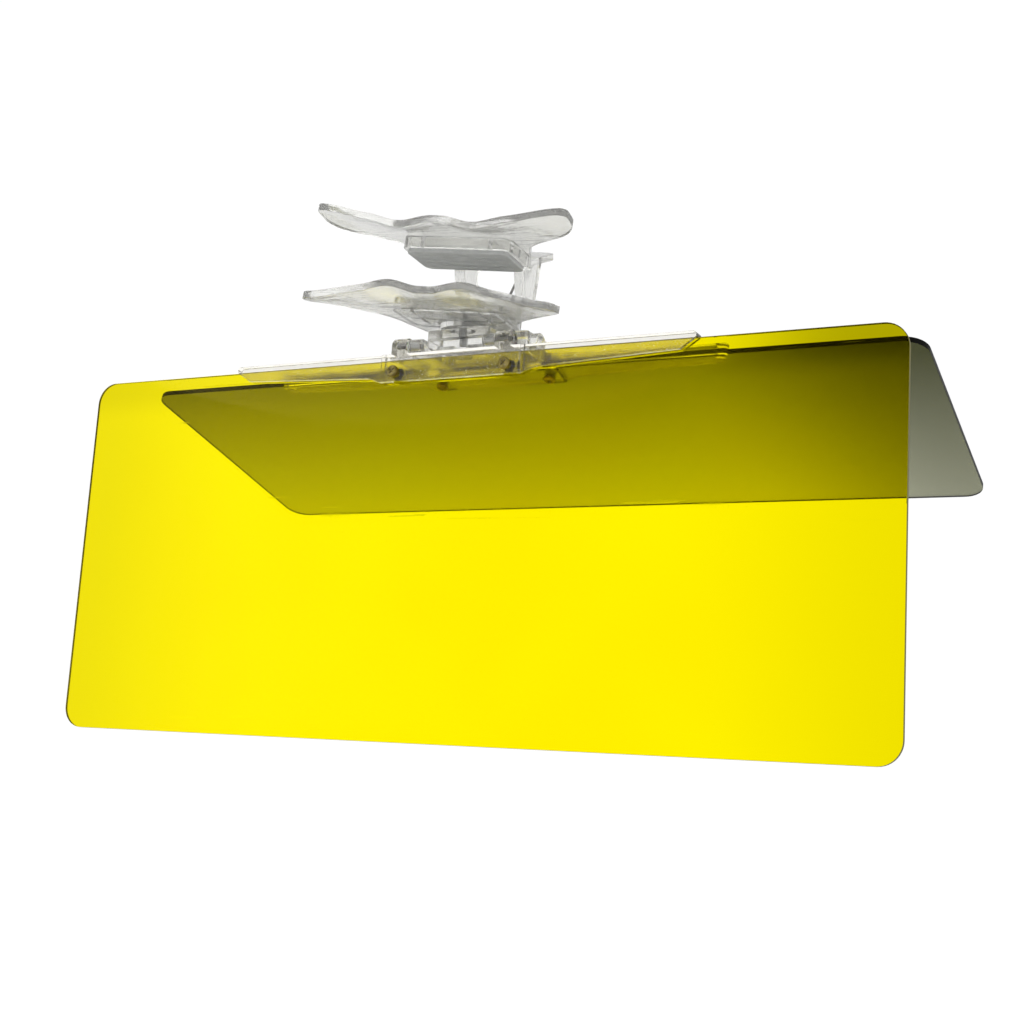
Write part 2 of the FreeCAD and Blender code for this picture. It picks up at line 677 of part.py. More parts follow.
def upper_jaw():
    plate_rear, plate_front = [mirrored_up(half) for half in jaw_plate()]
    body = union(plate_rear, mirrored_up(anvil()), upper_lever(), *both_sides(arm()), plate_front)
    hole = JAW_PIN_RADIUS + RUNNING_CLEARANCE
    return body.cut(rod_x(-ARM_OUTER - 1, ARM_OUTER + 1, hole, JAW_PIN_Y, JAW_PIN_Z))


def pin_ring(x0, x1, inner, outer):
    """A flat ring about the jaw pin."""
    disc = rod_x(x0, x1, outer, JAW_PIN_Y, JAW_PIN_Z)
    return disc.cut(rod_x(x0, x1, inner, JAW_PIN_Y, JAW_PIN_Z))


def jaw_hinge_pin():
    pin = rod_x(-JAW_PIN_HALF_LENGTH, JAW_PIN_HALF_LENGTH, JAW_PIN_RADIUS, JAW_PIN_Y, JAW_PIN_Z)
    pin = pin.makeChamfer(JAW_PIN_CHAMFER, [e for e in pin.Edges if e.Closed])
    x0 = ARM_OUTER + GROOVE_GAP
    groove = pin_ring(x0, x0 + GROOVE_WIDTH, GROOVE_RADIUS, CLIP_RADIUS)
    return pin.cut(both_sides(groove))


def jaw_pin_clips():
    """Two open retaining rings, one in the groove at each end of the jaw pin."""
    x0 = ARM_OUTER + GROOVE_GAP + (GROOVE_WIDTH - CLIP_THICKNESS) / 2
    x1 = x0 + CLIP_THICKNESS
    half = CLIP_MOUTH / 2
    bottom = JAW_PIN_Z - CLIP_RADIUS - 1
    mouth = block(x0 - 1, x1 + 1, JAW_PIN_Y - half, JAW_PIN_Y + half, bottom, JAW_PIN_Z)
    ring = pin_ring(x0, x1, GROOVE_RADIUS, CLIP_RADIUS).cut(mouth)
    return Part.makeCompound(both_sides(ring))


def jaw_torsion_spring():
    """Coils round the jaw pin, with one leg on the lower lever and one under the upper lever."""
    length = 2 * SPRING_HALF_LENGTH
    helix = Part.makeHelix(length / SPRING_TURNS, length, SPRING_RADIUS)
    wire_face = Part.makeCircle(SPRING_WIRE_RADIUS, Vec(SPRING_RADIUS, 0, 0), ALONG_Y)
    coil = Part.Wire(helix).makePipeShell([Part.Wire(wire_face)], True, True)
    coil.rotate(ORIGIN, ALONG_Y, 90)
    coil.translate(Vec(-SPRING_HALF_LENGTH, JAW_PIN_Y, JAW_PIN_Z))
    spring = coil
    ends = [
        (-SPRING_HALF_LENGTH, -SPRING_RADIUS, LOWER_SPRING_LEG),
        (SPRING_HALF_LENGTH, SPRING_RADIUS, UPPER_SPRING_LEG),
    ]
    for x, z, (leg_length, angle) in ends:
        start = Vec(x, JAW_PIN_Y, JAW_PIN_Z + z)
        way = Vec(0, math.cos(math.radians(angle)), math.sin(math.radians(angle)))
        leg = Part.makeCylinder(SPRING_WIRE_RADIUS, leg_length, start, way)
        elbow = Part.makeSphere(SPRING_ELBOW_RADIUS, start)
        spring = spring.fuse(elbow.fuse(leg))
    return spring


# ---- Assembly


def turn_with_clip(shape):
    turned = shape.copy()
    turned.rotate(ORIGIN, ALONG_Y, CLIP_CANT)
    turned.rotate(ORIGIN, UP, CLIP_YAW)
    return turned


def hang(shape, hinge, swing):
    hung = shape.copy()
    hung.rotate(ORIGIN, ALONG_X, swing)
    hung.translate(hinge)
    return hung


def hinged_set(name, panel_name, width, height, hinge, swing, with_nubs):
    """A rail with everything that swings with it, as node name to shape."""
    pieces = {
        f"{name}_rail": rail(with_nubs),
        f"{name}_hinge_pin_left": hinge_pin(-1),
        f"{name}_hinge_pin_right": hinge_pin(1),
        f"{name}_friction_washers": friction_washers(),
        f"{name}_rail_screws": rail_screws(),
        f"{name}_rail_nuts": rail_nuts(),
        panel_name: panel(width, height),
    }
    return {node: hang(shape, hinge, swing) for node, shape in pieces.items()}


def clip_set():
    pieces = {
        "lower_jaw": lower_jaw(),
        "lower_grip_pad": grip_pad(),
        "upper_jaw": upper_jaw(),
        "upper_grip_pad": mirrored_up(grip_pad()),
        "jaw_hinge_pin": jaw_hinge_pin(),
        "jaw_pin_clips": jaw_pin_clips(),
        "jaw_torsion_spring": jaw_torsion_spring(),
    }
    return {node: turn_with_clip(shape) for node, shape in pieces.items()}


def all_nodes():
    """Every node about the swivel axis, then moved so that the grip face's middle is the origin."""
    nodes = clip_set()
    nodes["hinge_yoke"] = hinge_yoke()
    nodes["swivel_screw"] = swivel_screw()
    nodes["swivel_washer"] = swivel_washer()
    nodes["swivel_wave_washer"] = swivel_wave_washer()
    nodes.update(
        hinged_set("front", "night_panel", NIGHT_PANEL_WIDTH, NIGHT_PANEL_HEIGHT, FRONT_HINGE, 0.0, False)
    )
    nodes.update(
        hinged_set("rear", "day_panel", DAY_PANEL_WIDTH, DAY_PANEL_HEIGHT, REAR_HINGE, DAY_PANEL_SWING, True)
    )
    yaw = math.radians(CLIP_YAW)
    grip_centre = Vec(-GRIP_Y * math.sin(yaw), GRIP_Y * math.cos(yaw), 0)
    for shape in nodes.values():
        shape.translate(-grip_centre)
    return nodes


os.makedirs("parts", exist_ok=True)
for node, shape in all_nodes().items():
    print(f"{node:28s} solids {len(shape.Solids)} valid {shape.isValid()} volume {shape.Volume:9.1f} mm3")
    shape.exportStep(f"parts/{node}.step")
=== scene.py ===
import json
import math

import bmesh
import bpy
from mathutils import Matrix, Vector


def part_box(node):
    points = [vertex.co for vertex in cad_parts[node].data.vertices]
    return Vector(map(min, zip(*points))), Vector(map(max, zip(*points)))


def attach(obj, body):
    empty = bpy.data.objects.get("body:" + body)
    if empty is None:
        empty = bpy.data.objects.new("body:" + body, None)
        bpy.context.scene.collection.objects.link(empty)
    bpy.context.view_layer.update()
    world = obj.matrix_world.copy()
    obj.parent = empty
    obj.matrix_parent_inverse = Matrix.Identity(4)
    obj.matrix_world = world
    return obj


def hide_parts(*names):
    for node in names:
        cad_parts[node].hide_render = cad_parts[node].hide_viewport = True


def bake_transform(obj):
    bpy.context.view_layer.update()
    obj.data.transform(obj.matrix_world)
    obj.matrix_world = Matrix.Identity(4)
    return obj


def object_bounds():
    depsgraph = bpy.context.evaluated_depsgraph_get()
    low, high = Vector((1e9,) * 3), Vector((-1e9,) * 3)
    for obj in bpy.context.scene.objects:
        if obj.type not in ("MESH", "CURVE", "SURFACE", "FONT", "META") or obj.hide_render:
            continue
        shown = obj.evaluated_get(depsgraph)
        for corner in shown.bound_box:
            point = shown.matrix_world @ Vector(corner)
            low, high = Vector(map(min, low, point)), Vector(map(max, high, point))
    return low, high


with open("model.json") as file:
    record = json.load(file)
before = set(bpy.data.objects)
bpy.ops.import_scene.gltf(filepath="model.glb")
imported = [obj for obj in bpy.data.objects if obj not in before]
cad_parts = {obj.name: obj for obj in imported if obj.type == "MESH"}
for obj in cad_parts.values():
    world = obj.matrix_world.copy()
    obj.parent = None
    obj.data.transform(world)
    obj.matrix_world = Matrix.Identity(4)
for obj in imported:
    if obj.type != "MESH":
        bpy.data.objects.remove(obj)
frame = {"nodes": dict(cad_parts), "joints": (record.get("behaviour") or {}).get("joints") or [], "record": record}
cad_low, cad_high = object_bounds()
nodes = frame["nodes"]
body_of_node = {
    node: body for body, members in frame["record"]["behaviour"]["bodies"].items() for node in members
}
joints = {joint["name"]: joint for joint in frame["joints"]}
mounts = {mount["name"]: mount for mount in frame["record"]["mounts"]}

MM = 0.001

# The clip's own directions: out of the grip face, along its jaw pin, and from the driver to the windscreen
CLIP_UP = Vector(mounts["lower_grip_face"]["axis"]).normalized()
CLIP_ALONG = -Vector(joints["jaw_open"]["axis"]).normalized()
CLIP_ACROSS = CLIP_UP.cross(CLIP_ALONG)
JAW_PIN = Vector(joints["jaw_open"]["pos_m"])
REAR_HINGE = Vector(joints["rear_panel_fold"]["pos_m"])

# Brightness of the surroundings, seen straight or through clear pieces, and as light or in reflections
HORIZON_SEEN, HORIZON_ELSEWHERE = 1.02, 0.7
FLOOR_SEEN, FLOOR_ELSEWHERE = 0.68, 0.1
# The ceiling's brightness as a share of the horizon's
CEILING_SHARE = 0.35
# The floor's width, and how far it lies below the object, in metres
FLOOR_SIZE, FLOOR_DROP = 60, 0.12
LIGHTS_AIM = (0, 0, -0.05)

# Where facing() is above the first, a sheet's surface is a broad face, and below the second, its cut edge
BROAD_FACE, CUT_EDGE = 0.85, 0.35
# How much rougher a cut edge is than the faces
EDGE_ROUGHNESS = 0.35
# How far a rounded normal leans off the true one, as 1 less their dot product, where wear starts and ends
WEAR_START, WEAR_END = 0.03, 0.25

# Radii of the rounded edges
FINE_EDGE, PIN_EDGE, SOFT_EDGE = 0.06 * MM, 0.08 * MM, 0.12 * MM
MOULDED_EDGE, SHEET_EDGE = 0.15 * MM, 0.2 * MM
# What moulded() welds, flattens and rounds over
WELD_DISTANCE = 0.002 * MM
FLAT_ANGLE, ROUNDED_ANGLE = math.radians(0.5), math.radians(30)

# The torsion spring's wire, coils and legs, with the same sizes as in the CAD model
WIRE_RADIUS, WIRE_SIDES = 0.5 * MM, 14
COIL_RADIUS, COIL_HALF_LENGTH = 3.0 * MM, 4.8 * MM
COIL_TURNS, COIL_STEPS_PER_TURN = 6.5, 36
LOWER_LEG, LOWER_LEG_ANGLE = 4.7 * MM, math.radians(-10)
UPPER_LEG, UPPER_LEG_ANGLE = 20.2 * MM, math.radians(60)
LEG_STEPS = 6
# The rings of a wire's domed end: how far out, and how wide, in radii
DOME_RINGS = ((0.35, 0.75), (0.55, 0.35))

# The swivel's wave washer: the width and thickness of its strip, and how finely it is drawn
WAVE_WIDTH, WAVE_THICKNESS = 2.3 * MM, 0.2 * MM
WAVES, WAVE_STEPS = 3, 120


# ---- Camera, light and stage


def photo_camera():
    """From the driver's side, to the right and below, looking slightly up."""
    place = Vector((0.26554, -0.46234, -0.1676))
    yaw, pitch, roll = (math.radians(a) for a in (27.64, 10.11, 3.54))
    forward = Vector((-math.sin(yaw) * math.cos(pitch), math.cos(yaw) * math.cos(pitch), math.sin(pitch)))
    level = Vector((math.cos(yaw), math.sin(yaw), 0))
    above = level.cross(forward)
    right = level * math.cos(roll) + above * math.sin(roll)
    up = above * math.cos(roll) - level * math.sin(roll)
    data = bpy.data.cameras.new("camera")
    data.lens = 55.73
    data.sensor_width = 36.0
    data.clip_start = 0.02
    data.clip_end = 50
    camera = bpy.data.objects.new("camera", data)
    turn = Matrix((right, up, -forward)).transposed().to_4x4()
    camera.matrix_world = Matrix.Translation(place) @ turn
    bpy.context.scene.collection.objects.link(camera)
    bpy.context.scene.camera = camera


def area_light(name, place, size, power):
    """A soft round light aimed at the middle of the object."""
    data = bpy.data.lights.new(name, "AREA")
    data.shape = "DISK"
    data.size = size
    data.energy = power
    light = bpy.data.objects.new(name, data)
    light.location = place
    light.rotation_euler = (Vector(LIGHTS_AIM) - Vector(place)).to_track_quat("-Z", "Y").to_euler()
    bpy.context.scene.collection.objects.link(light)


def add_node(tree, kind, settings=None, sockets=None):
    """A new node. A socket takes another node's output, which is linked, or a plain value."""
    made = tree.nodes.new(kind)
    for name, value in (settings or {}).items():
        setattr(made, name, value)
    for key, value in (sockets or {}).items():
        if isinstance(value, bpy.types.NodeSocket):
            tree.links.new(value, made.inputs[key])
        else:
            made.inputs[key].default_value = value
    return made


def seen_straight(tree):
    """1 where something is seen straight or through clear pieces, and 0 as light and in reflections."""
    path = add_node(tree, "ShaderNodeLightPath").outputs
    rays = {0: path["Is Camera Ray"], 1: path["Is Transmission Ray"]}
    return add_node(tree, "ShaderNodeMath", {"operation": "MAXIMUM"}, rays).outputs[0]


def studio_world():
    """White all round the horizon, and a darker ceiling overhead, as under a car's roof."""
    world = bpy.data.worlds.new("studio")
    world.use_nodes = True
    tree = world.node_tree
    direction = add_node(tree, "ShaderNodeTexCoord").outputs["Generated"]
    height = add_node(tree, "ShaderNodeSeparateXYZ", None, {0: direction}).outputs["Z"]
    shade = {"Value": height, "From Min": 0.5, "From Max": 0.85, "To Min": 1.0, "To Max": CEILING_SHARE}
    ceiling = add_node(tree, "ShaderNodeMapRange", {"interpolation_type": "SMOOTHSTEP"}, shade)
    power = {"Value": seen_straight(tree), "To Min": HORIZON_ELSEWHERE, "To Max": HORIZON_SEEN}
    strength = add_node(tree, "ShaderNodeMapRange", None, power)
    background = tree.nodes["Background"]
    tree.links.new(ceiling.outputs[0], background.inputs["Color"])
    tree.links.new(strength.outputs[0], background.inputs["Strength"])
    bpy.context.scene.world = world


def studio():
    bpy.context.scene.view_settings.view_transform = "Standard"
    studio_world()
    area_light("key", (-0.5, -0.7, 0.9), size=1.8, power=8)
    area_light("fill", (0.9, -0.4, 0.3), size=1.2, power=3)
    bpy.ops.mesh.primitive_plane_add(size=FLOOR_SIZE, location=(0, 0, cad_low.z - FLOOR_DROP))
    floor = bpy.context.object
    floor.name = "floor"
    floor.data.materials.append(floor_look())


# ---- Materials


class Look:
    """A Principled material whose patterns lie in its piece's own space, in metres.

    A noise's scale is about how many of its features lie along a metre.
    """

    def __init__(self, name, **values):
        self.material = bpy.data.materials.new(name)
        self.material.use_nodes = True
        self.tree = self.material.node_tree
        self.shader = self.tree.nodes["Principled BSDF"]
        self.place = self.add("ShaderNodeTexCoord").outputs["Object"]
        self.normal = None
        for socket, value in values.items():
            self.shader.inputs[socket.replace("_", " ")].default_value = value

    def add(self, kind, settings=None, sockets=None):
        return add_node(self.tree, kind, settings, sockets)

    def noise(self, scale, detail, stretch=None, warp=0.0):
        place = self.place
        if stretch:
            place = self.add("ShaderNodeMapping", None, {"Vector": place, "Scale": stretch}).outputs[0]
        sockets = {"Vector": place, "Scale": scale, "Detail": detail, "Distortion": warp}
        return self.add("ShaderNodeTexNoise", None, sockets).outputs[0]

    def span(self, value, start, end, low=0.0, high=1.0, smooth=True):
        """Low on start's side, high on end's side, and a smooth or straight change between."""
        kind = "SMOOTHSTEP" if smooth else "LINEAR"
        sockets = {"Value": value, "From Min": start, "From Max": end, "To Min": low, "To Max": high}
        return self.add("ShaderNodeMapRange", {"interpolation_type": kind}, sockets).outputs[0]

    def maths(self, operation, first, second=0.0):
        return self.add("ShaderNodeMath", {"operation": operation}, {0: first, 1: second}).outputs[0]

    def along(self, start, end):
        """How far a point lies from start to end, as 0 to 1 and beyond."""
        way = Vector(end) - Vector(start)
        back = Vector(start) * -1
        moved = self.add("ShaderNodeVectorMath", {"operation": "ADD"}, {0: self.place, 1: back})
        return self.dot(moved.outputs[0], way / way.length_squared)

    def dot(self, first, second):
        sockets = {0: first, 1: second}
        return self.add("ShaderNodeVectorMath", {"operation": "DOT_PRODUCT"}, sockets).outputs["Value"]

    def mix(self, factor, first, second):
        sockets = {0: factor, 6: solid(first), 7: solid(second)}
        return self.add("ShaderNodeMix", {"data_type": "RGBA"}, sockets).outputs[2]

    def facing(self, direction):
        """1 on faces square to a direction in the piece's own space, and 0 on faces along it."""
        normal = self.add("ShaderNodeTexCoord").outputs["Normal"]
        return self.maths("ABSOLUTE", self.dot(normal, direction))

    def worn_edges(self, radius):
        """1 on sharp edges and 0 on flats, from how far a rounded normal leans off the true one."""
        rounded = self.add("ShaderNodeBevel", {"samples": 4}, {"Radius": radius}).outputs[0]
        true = self.add("ShaderNodeNewGeometry").outputs["Normal"]
        return self.span(self.dot(rounded, true), 1 - WEAR_START, 1 - WEAR_END)

    def bump(self, height, distance, strength):
        """Adds relief. Distance is the relief's depth in metres."""
        sockets = {"Height": height, "Distance": distance, "Strength": strength}
        if self.normal:
            sockets["Normal"] = self.normal
        self.normal = self.add("ShaderNodeBump", None, sockets).outputs[0]

    def finish(self, colour, gloss=None, clearness=None):
        """Links the patterns to the shader. Gloss is its roughness, and clearness its transmission."""
        links = (("Base Color", colour), ("Roughness", gloss), ("Transmission Weight", clearness))
        for socket, value in (*links, ("Normal", self.normal)):
            if value is not None:
                self.tree.links.new(value, self.shader.inputs[socket])
        return self.material


def solid(colour):
    """A colour given as three numbers, with full opacity, or a socket as it is."""
    return (*colour, 1.0) if isinstance(colour, tuple) and len(colour) == 3 else colour


def floor_look():
    """A pale floor as bright as the horizon, that shows only dimly in the object's own reflections."""
    look = Look("studio_floor", Roughness=0.85, Emission_Color=(1, 1, 1, 1))
    glow = look.span(seen_straight(look.tree), 0, 1, FLOOR_ELSEWHERE, FLOOR_SEEN, smooth=False)
    look.tree.links.new(glow, look.shader.inputs["Emission Strength"])
    return look.finish(look.mix(look.noise(9, 3), (0.9, 0.9, 0.9), (0.94, 0.94, 0.94)))


def clear_plastic(name, milky, clearest, edge_colour, clearness, ripple, glint):
    """Clear moulded polycarbonate, more or less milky, with flow lines, handling marks and fine dust.

    Clearness is the share of light let through, ripple the flow lines' depth in metres, and glint how
    bright the reflections are.
    """
    look = Look(name, IOR=1.5, Specular_Tint=(glint, glint, glint, 1.0))
    cloud = look.noise(70, 3)
    flow = look.noise(55, 2, stretch=(1, 5, 7), warp=1.5)
    smears = look.span(look.noise(130, 5, warp=0.6), 0.42, 0.72)
    dust = look.span(look.noise(2600, 1), 0.70, 0.76)
    edge = look.worn_edges(0.25 * MM)
    milk = look.mix(look.span(cloud, 0.3, 0.7), milky, clearest)
    milk = look.mix(edge, milk, edge_colour)
    look.bump(flow, ripple, 0.6)
    look.bump(look.noise(900, 3), 0.01 * MM, 0.5)
    gloss = look.maths("ADD", look.span(smears, 0, 1, 0.07, 0.17), look.maths("MULTIPLY", dust, 0.25))
    clean = look.span(edge, 0, 1, clearness, clearness - 0.18)
    return look.finish(milk, gloss, look.maths("SUBTRACT", clean, look.maths("MULTIPLY", dust, 0.4)))


def silicone():
    """Soft translucent silicone with a matt, slightly dusty skin."""
    look = Look("translucent_silicone", IOR=1.42, Subsurface_Weight=0.25, Subsurface_Scale=0.002)
    look.shader.inputs["Subsurface Radius"].default_value = (1.0, 1.0, 0.95)
    mottle = look.noise(240, 4)
    lint = look.span(look.noise(1500, 2, stretch=(1, 0.25, 1)), 0.66, 0.74)
    colour = look.mix(look.span(mottle, 0.3, 0.7), (0.70, 0.71, 0.70), (0.80, 0.81, 0.80))
    colour = look.mix(lint, colour, (0.90, 0.90, 0.88))
    look.bump(look.noise(1800, 4), 0.03 * MM, 0.7)
    return look.finish(colour, look.span(mottle, 0.2, 0.8, 0.45, 0.65), look.span(mottle, 0, 1, 0.3, 0.45))


def acrylic(look, tint_and_painted_shade, broad_faces, edge_colour, edge_clearness):
    """A handled acrylic sheet: smears, hairline scratches, a faint waviness, and dull dark cut edges."""
    smears = look.span(look.noise(38, 4, warp=0.8), 0.45, 0.75)
    hairlines = look.span(look.noise(30, 2, stretch=(0.6, 14, 22), warp=0.4), 0.70, 0.72)
    dust = look.span(look.noise(2400, 1), 0.72, 0.77)
    look.bump(look.noise(16, 1), 0.25 * MM, 0.25)
    look.bump(hairlines, 0.004 * MM, 0.5)
    marks = look.maths("MULTIPLY", look.maths("MAXIMUM", hairlines, dust), 0.14)
    edge = look.span(look.facing(broad_faces), BROAD_FACE, CUT_EDGE)
    gloss = look.maths("ADD", look.span(smears, 0, 1, 0.015, 0.06), marks)
    gloss = look.maths("ADD", gloss, look.maths("MULTIPLY", edge, EDGE_ROUGHNESS))
    clearness = look.span(edge, 0, 1, 1.0, edge_clearness)
    return look.finish(look.mix(edge, tint_and_painted_shade, edge_colour), gloss, clearness)


def yellow_acrylic():
    """Yellow tinted acrylic, deeper towards the ends, with painted shade in one top corner, and olive cut edges.
    """
    look = Look("yellow_acrylic", IOR=1.49, Specular_IOR_Level=0.3, Specular_Tint=(0.15, 0.12, 0.0, 1.0))
    low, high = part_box("night_panel")
    middle = (low + high) / 2
    rightward = look.along(middle, (high.x, middle.y, middle.z))
    upward = look.along((0, 0, low.z), (0, 0, high.z))
    tint_and_painted_shade = look.mix(look.span(look.noise(11, 2), 0.3, 0.7), (1.0, 0.84, 0.0), (1.0, 0.88, 0.0))
    tint_and_painted_shade = look.mix(look.span(look.maths("ABSOLUTE", rightward), 0.55, 1.05), tint_and_painted_shade, (0.86, 0.74, 0.0))
    # Painted shade: a dark patch in the top right corner, deeper towards the right end
    right = look.span(look.span(rightward, 0.45, 1.0), 0, 1, 0.2, 1.0)
    corner = look.maths("MULTIPLY", look.span(upward, 0.88, 0.97), right)
    tint_and_painted_shade = look.mix(corner, tint_and_painted_shade, (0.42, 0.37, 0.0))
    return acrylic(look, tint_and_painted_shade, (0, 1, 0), edge_colour=(0.12, 0.105, 0.0), edge_clearness=0.1)


def smoke_acrylic():
    """Smoke grey acrylic with painted shade, darkest beside its rail and towards one end, and black cut edges."""
    look = Look("smoke_acrylic", IOR=1.49, Specular_IOR_Level=0.08, Specular_Tint=(0.4, 0.4, 0.4, 1.0))
    low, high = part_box("day_panel")
    hinge = Vector((0, REAR_HINGE.y, REAR_HINGE.z))
    free_edge = Vector((0, high.y, low.z))
    # Painted shade: darker beside the rail and lighter towards the free edge
    painted_shade_fade = look.span(look.along(hinge, free_edge), 0.1, 1.0, smooth=False)
    left = look.mix(painted_shade_fade, (0.17, 0.175, 0.08), (0.45, 0.462, 0.33))
    right = look.mix(painted_shade_fade, (0.032, 0.036, 0.0), (0.214, 0.22, 0.142))
    # Painted shade: darker still towards the right end, from the left colours to the right ones
    tint_and_painted_shade = look.mix(look.span(look.along((0.065, 0, 0), (high.x, 0, 0)), 0, 1), left, right)
    broad_faces = (free_edge - hinge).normalized().cross(Vector((1, 0, 0)))
    return acrylic(look, tint_and_painted_shade, broad_faces, edge_colour=(0.004, 0.004, 0.003), edge_clearness=0.0)


def steel(name, dark, light, brushed, roughness):
    """Bare or plated steel with fine tooling marks, duller patches and bright worn edges."""
    look = Look(name, Metallic=1.0)
    patches = look.span(look.noise(500, 4), 0.35, 0.7)
    marks = look.noise(900, 3, stretch=brushed)
    colour = look.mix(patches, dark, light)
    colour = look.mix(look.worn_edges(0.12 * MM), colour, (0.80, 0.79, 0.77))
    look.bump(marks, 0.012 * MM, 0.5)
    patchy = look.span(patches, 0, 1, roughness, roughness + 0.12)
    return look.finish(colour, look.maths("ADD", patchy, look.span(marks, 0.3, 0.7, 0, 0.1)))


def nylon():
    """Natural nylon: off-white, waxy and finely grained."""
    look = Look("natural_nylon", IOR=1.53, Subsurface_Weight=0.2, Subsurface_Scale=0.001)
    grain = look.noise(1400, 3)
    colour = look.mix(look.span(look.noise(350, 3), 0.3, 0.7), (0.78, 0.77, 0.70), (0.88, 0.87, 0.82))
    look.bump(grain, 0.01 * MM, 0.6)
    return look.finish(colour, look.span(grain, 0.3, 0.7, 0.38, 0.5))


# ---- Pieces


def shaded(piece, sharp_degrees=25.0):
    """Smooth shading across curves, crisp at edges, with flats kept flat."""
    piece.data.shade_smooth()
    piece.data.set_sharp_from_angle(angle=math.radians(sharp_degrees))
    weigh = piece.modifiers.new("flats", "WEIGHTED_NORMAL")
    weigh.keep_sharp = True
    bpy.context.view_layer.update()
    evaluated = piece.evaluated_get(bpy.context.evaluated_depsgraph_get())
    final = bpy.data.meshes.new_from_object(evaluated)
    piece.modifiers.clear()
    piece.data = final


def made_piece(name, work, material):
    """An object of the mesh being worked on, which is let go."""
    mesh = bpy.data.meshes.new(name)
    work.to_mesh(mesh)
    work.free()
    piece = bpy.data.objects.new(name, mesh)
    bpy.context.scene.collection.objects.link(piece)
    piece.data.materials.append(material)
    return piece


def stand_for(piece, node, ride=True):
    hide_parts(node)
    if ride:
        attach(piece, body_of_node[node])


def moulded(node, name, material, edge_radius):
    """The node's own shape with every sharp edge rounded over."""
    work = bmesh.new()
    work.from_mesh(nodes[node].data)
    bmesh.ops.remove_doubles(work, verts=work.verts, dist=WELD_DISTANCE)
    bmesh.ops.dissolve_limit(work, angle_limit=FLAT_ANGLE, verts=work.verts, edges=work.edges)
    sharp = [e for e in work.edges if len(e.link_faces) == 2 and e.calc_face_angle(0) > ROUNDED_ANGLE]
    bmesh.ops.bevel(
        work,
        geom=sharp,
        offset=edge_radius,
        offset_type="OFFSET",
        segments=2,
        profile=0.5,
        affect="EDGES",
        clamp_overlap=False,
    )
    low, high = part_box(node)
    for vertex in work.verts:
        vertex.co = Vector(min(max(vertex.co[i], low[i]), high[i]) for i in range(3))
    piece = made_piece(name, work, material)
    shaded(piece)
    stand_for(piece, node)


def join_rings(work, first, second):
    """A band of faces between two closed rings of as many points."""
    for k in range(len(first)):
        after = (k + 1) % len(first)
        work.faces.new((first[k], first[after], second[after], second[k]))


def tube(name, path, radius, sides, material):
    """A round wire along a path of points, closed at both ends with small domes."""
    work = bmesh.new()
    last = len(path) - 1
    turns = [2 * math.pi * k / sides for k in range(sides)]
    side_way = None
    rings = []
    for i, point in enumerate(path):
        ahead = (path[min(i + 1, last)] - path[max(i - 1, 0)]).normalized()
        if side_way is None:
            side_way = ahead.orthogonal().normalized()
        side_way = (side_way - ahead * side_way.dot(ahead)).normalized()
        other = ahead.cross(side_way)
        steps = [(0.0, 1.0)]
        if i == 0:
            steps = [(-reach, size) for reach, size in reversed(DOME_RINGS)] + steps
        elif i == last:
            steps = steps + list(DOME_RINGS)
        for reach, size in steps:
            middle = point + ahead * radius * reach
            rings.append([
                work.verts.new(middle + (side_way * math.cos(t) + other * math.sin(t)) * radius * size)
                for t in turns
            ])
    for first, second in zip(rings, rings[1:]):
        join_rings(work, first, second)
    work.faces.new(list(reversed(rings[0])))
    work.faces.new(rings[-1])
    bmesh.ops.recalc_face_normals(work, faces=work.faces)
    return made_piece(name, work, material)


def torsion_spring(material):
    """Close coils round the jaw pin, with a straight leg at each end that bears on a jaw."""

    def at(along, across, up):
        return JAW_PIN + CLIP_ALONG * along + CLIP_ACROSS * across + CLIP_UP * up

    def on_leg(side, length, angle):
        """A point of the lower leg, at side -1, or of the upper leg, at side 1."""
        up = side * COIL_RADIUS + length * math.sin(angle)
        return at(side * COIL_HALF_LENGTH, length * math.cos(angle), up)

    points = [on_leg(-1, LOWER_LEG * i / LEG_STEPS, LOWER_LEG_ANGLE) for i in range(LEG_STEPS, 0, -1)]
    total = int(COIL_TURNS * COIL_STEPS_PER_TURN)
    for i in range(total + 1):
        share = i / total
        turn = -math.pi / 2 - 2 * math.pi * COIL_TURNS * share
        along = -COIL_HALF_LENGTH + 2 * COIL_HALF_LENGTH * share
        points.append(at(along, COIL_RADIUS * math.cos(turn), COIL_RADIUS * math.sin(turn)))
    points += [on_leg(1, UPPER_LEG * i / LEG_STEPS, UPPER_LEG_ANGLE) for i in range(1, LEG_STEPS + 1)]
    piece = tube("jaw_spring", points, WIRE_RADIUS, WIRE_SIDES, material)
    shaded(piece, sharp_degrees=40)
    stand_for(piece, "jaw_torsion_spring", ride=False)
    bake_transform(piece)


def wave_washer(material):
    """A thin spring ring bent into three waves between the hub's floor and the flat washer."""
    low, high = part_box("swivel_wave_washer")
    middle = (low + high) / 2
    outer = (high.x - low.x) / 2
    inner = outer - WAVE_WIDTH
    swing = (high.z - low.z - WAVE_THICKNESS) / 2
    work = bmesh.new()
    rings = []
    for radius, side in ((inner, -1), (outer, -1), (outer, 1), (inner, 1)):
        ring = []
        for k in range(WAVE_STEPS):
            turn = 2 * math.pi * k / WAVE_STEPS
            lift = swing * math.cos(WAVES * turn) + side * WAVE_THICKNESS / 2
            offset = Vector((radius * math.cos(turn), radius * math.sin(turn), lift))
            ring.append(work.verts.new(middle + offset))
        rings.append(ring)
    for first, second in zip(rings, rings[1:] + rings[:1]):
        join_rings(work, first, second)
    bmesh.ops.recalc_face_normals(work, faces=work.faces)
    piece = made_piece("wave_washer", work, material)
    shaded(piece)
    stand_for(piece, "swivel_wave_washer")


# ---- Assembly

photo_camera()
studio()

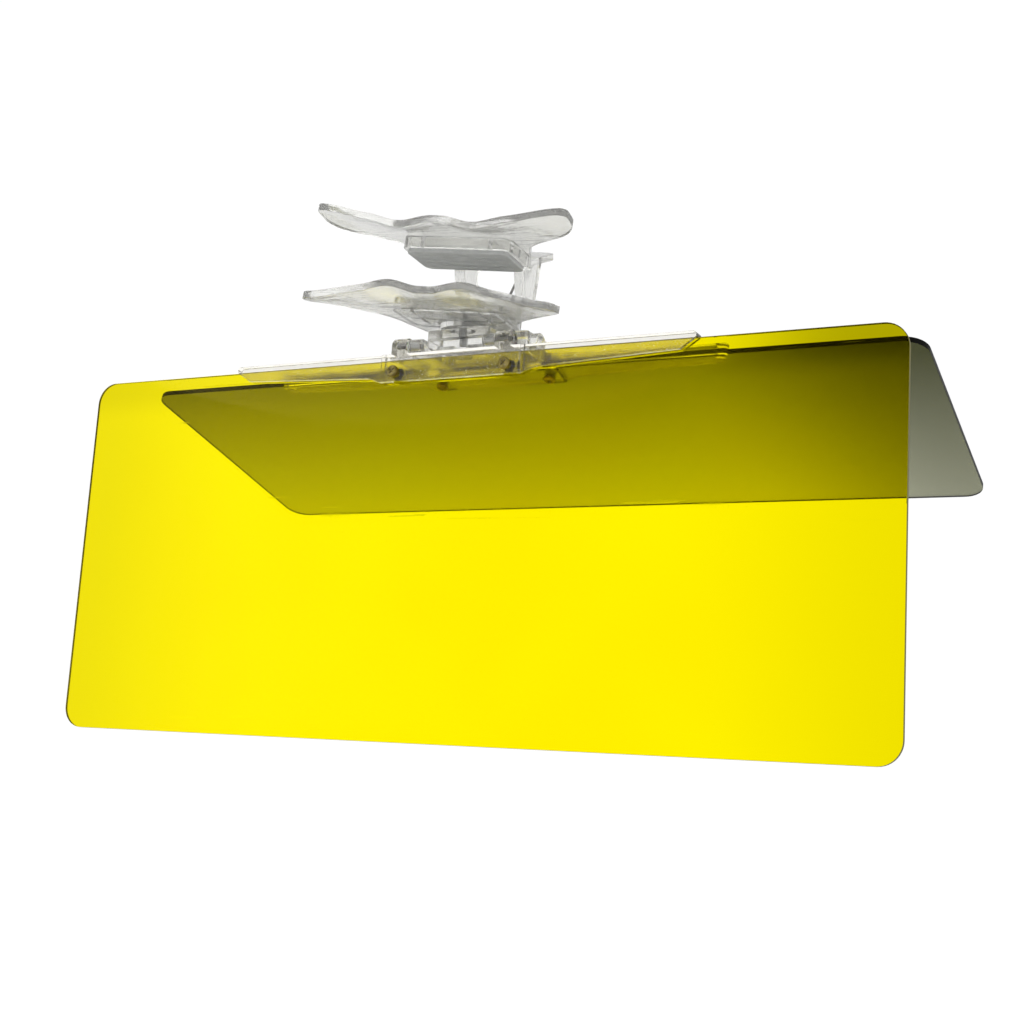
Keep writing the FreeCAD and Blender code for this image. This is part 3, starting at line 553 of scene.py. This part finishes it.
clip_clear = clear_plastic(
    "clear_polycarbonate",
    milky=(0.83, 0.83, 0.80),
    clearest=(0.92, 0.92, 0.90),
    edge_colour=(0.94, 0.94, 0.93),
    clearness=0.88,
    ripple=0.12 * MM,
    glint=1.0,
)
rail_clear = clear_plastic(
    "clear_rail_polycarbonate",
    milky=(0.82, 0.80, 0.75),
    clearest=(0.87, 0.85, 0.80),
    edge_colour=(0.45, 0.43, 0.35),
    clearness=1.0,
    ripple=0.04 * MM,
    glint=0.4,
)
plated = steel("plated_steel", (0.36, 0.36, 0.37), (0.56, 0.56, 0.56), (1, 1, 6), 0.26)
spring_steel = steel("spring_steel", (0.22, 0.22, 0.22), (0.42, 0.41, 0.40), (1, 4, 4), 0.3)
yellow_zinc = steel("yellow_zinc_steel", (0.13, 0.10, 0.03), (0.32, 0.26, 0.09), (1, 1, 6), 0.28)
rubber = silicone()
plain_nylon = nylon()

for node in ("lower_jaw", "upper_jaw", "hinge_yoke"):
    moulded(node, f"{node}_moulding", clip_clear, MOULDED_EDGE)
for node in ("front_rail", "rear_rail"):
    moulded(node, f"{node}_moulding", rail_clear, MOULDED_EDGE)
for node in ("lower_grip_pad", "upper_grip_pad"):
    moulded(node, f"{node}_ribbed", rubber, SOFT_EDGE)
moulded("night_panel", "night_sheet", yellow_acrylic(), SHEET_EDGE)
moulded("day_panel", "day_sheet", smoke_acrylic(), SHEET_EDGE)
for end in ("front", "rear"):
    moulded(f"{end}_rail_screws", f"{end}_cross_screws", yellow_zinc, FINE_EDGE)
    moulded(f"{end}_rail_nuts", f"{end}_hex_nuts", plated, SOFT_EDGE)
    moulded(f"{end}_friction_washers", f"{end}_drag_washers", plain_nylon, FINE_EDGE)
    for side in ("left", "right"):
        moulded(f"{end}_hinge_pin_{side}", f"{end}_pin_{side}", plated, PIN_EDGE)
moulded("jaw_hinge_pin", "jaw_axle", plated, FINE_EDGE)
moulded("jaw_pin_clips", "jaw_axle_rings", spring_steel, FINE_EDGE)
moulded("swivel_screw", "swivel_machine_screw", plated, PIN_EDGE)
moulded("swivel_washer", "swivel_flat_washer", plated, PIN_EDGE)
torsion_spring(spring_steel)
wave_washer(spring_steel)
